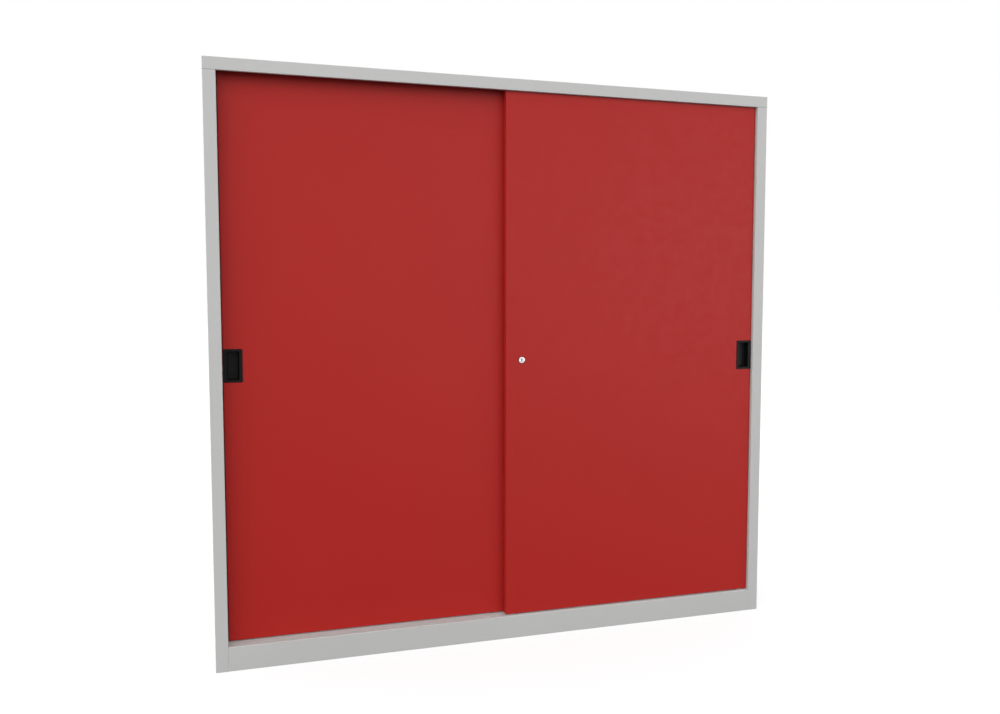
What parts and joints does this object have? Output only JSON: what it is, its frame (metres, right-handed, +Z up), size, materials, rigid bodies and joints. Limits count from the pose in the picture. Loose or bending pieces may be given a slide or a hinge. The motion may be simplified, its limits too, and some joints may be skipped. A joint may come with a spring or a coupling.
{
  "type": "sliding door cabinet",
  "caption": "Free-standing steel cabinet with two top-hung sliding doors, a key lock, flush pulls, a centre partition and adjustable shelves.",
  "frame": {"origin": "middle of the footprint, on the floor", "axes": "+X to the right seen from the front, +Y from the front to the back, +Z up"},
  "size_m": [2, 0.5, 1.95],
  "materials": {
    "body_grey": "light grey powder coat, fine texture, half matt",
    "door_red": "red powder coat, fine texture, half matt",
    "zinc_steel": "zinc plated sheet and bar",
    "black_plastic": "moulded, fine grain",
    "white_nylon": "smooth moulded",
    "black_rubber": "matt",
    "lock_chrome": "polished"
  },
  "bodies": {
    "cabinet": {"left_side_panel": "body_grey", "right_side_panel": "body_grey", "top_panel": "body_grey", "base_panel": "body_grey", "left_back_panel": "body_grey", "right_back_panel": "body_grey", "floor_bearers": "zinc_steel", "centre_partition": "body_grey", "front_track": "zinc_steel", "rear_track": "zinc_steel", "rear_track_stop": "white_nylon", "door_buffers": "black_rubber", "side_shelf_rails": "body_grey", "partition_shelf_rails": "body_grey", "shelf_clips": "zinc_steel", "left_shelf_1": "body_grey", "left_shelf_2": "body_grey", "left_shelf_3": "body_grey", "left_shelf_4": "body_grey", "right_shelf_1": "body_grey", "right_shelf_2": "body_grey", "right_shelf_3": "body_grey", "right_shelf_4": "body_grey"},
    "front_door": {"front_door_panel": "door_red", "front_door_handle": "black_plastic", "front_door_stiffeners": "zinc_steel", "front_door_hangers": "zinc_steel", "front_door_axles": "zinc_steel", "front_door_guides": "black_plastic", "lock_housing": "lock_chrome", "lock_nut": "zinc_steel"},
    "rear_door": {"rear_door_panel": "door_red", "rear_door_handle": "black_plastic", "rear_door_stiffeners": "zinc_steel", "rear_door_hangers": "zinc_steel", "rear_door_axles": "zinc_steel", "rear_door_guides": "black_plastic", "lock_catch_plate": "zinc_steel", "lock_catch_pin": "zinc_steel"},
    "lock": {"lock_plug": "lock_chrome", "lock_cam": "zinc_steel", "lock_cam_screw": "zinc_steel"},
    "front_door_left_wheel_roller": {"front_door_left_wheel": "white_nylon"},
    "front_door_right_wheel_roller": {"front_door_right_wheel": "white_nylon"},
    "rear_door_left_wheel_roller": {"rear_door_left_wheel": "white_nylon"},
    "rear_door_right_wheel_roller": {"rear_door_right_wheel": "white_nylon"}
  },
  "joints": [
    {"name": "front_door_slide", "type": "slide", "parent": "cabinet", "child": "front_door", "axis": [1, 0, 0], "range_m": [-0.941, 0]},
    {"name": "rear_door_slide", "type": "slide", "parent": "cabinet", "child": "rear_door", "axis": [1, 0, 0], "range_m": [0, 0.8695]},
    {"name": "lock_turn", "type": "hinge", "parent": "front_door", "child": "lock", "pos_m": [0.041, -0.2385, 0.989], "axis": [0, 1, 0], "range_deg": [0, 90]},
    {"name": "front_door_left_wheel_spin", "type": "hinge", "parent": "front_door", "child": "front_door_left_wheel_roller", "pos_m": [0.103, -0.2195, 1.9353], "axis": [0, 1, 0], "continuous": true},
    {"name": "front_door_right_wheel_spin", "type": "hinge", "parent": "front_door", "child": "front_door_right_wheel_roller", "pos_m": [0.838, -0.2195, 1.9353], "axis": [0, 1, 0], "continuous": true},
    {"name": "rear_door_left_wheel_spin", "type": "hinge", "parent": "rear_door", "child": "rear_door_left_wheel_roller", "pos_m": [-0.838, -0.183, 1.9353], "axis": [0, 1, 0], "continuous": true},
    {"name": "rear_door_right_wheel_spin", "type": "hinge", "parent": "rear_door", "child": "rear_door_right_wheel_roller", "pos_m": [-0.103, -0.183, 1.9353], "axis": [0, 1, 0], "continuous": true}
  ],
  "couplings": [
    {"joint": "front_door_left_wheel_spin", "follows": "front_door_slide", "rad_per_m": 117.65},
    {"joint": "front_door_right_wheel_spin", "follows": "front_door_slide", "rad_per_m": 117.65},
    {"joint": "rear_door_left_wheel_spin", "follows": "rear_door_slide", "rad_per_m": 117.65},
    {"joint": "rear_door_right_wheel_spin", "follows": "rear_door_slide", "rad_per_m": 117.65}
  ]
}
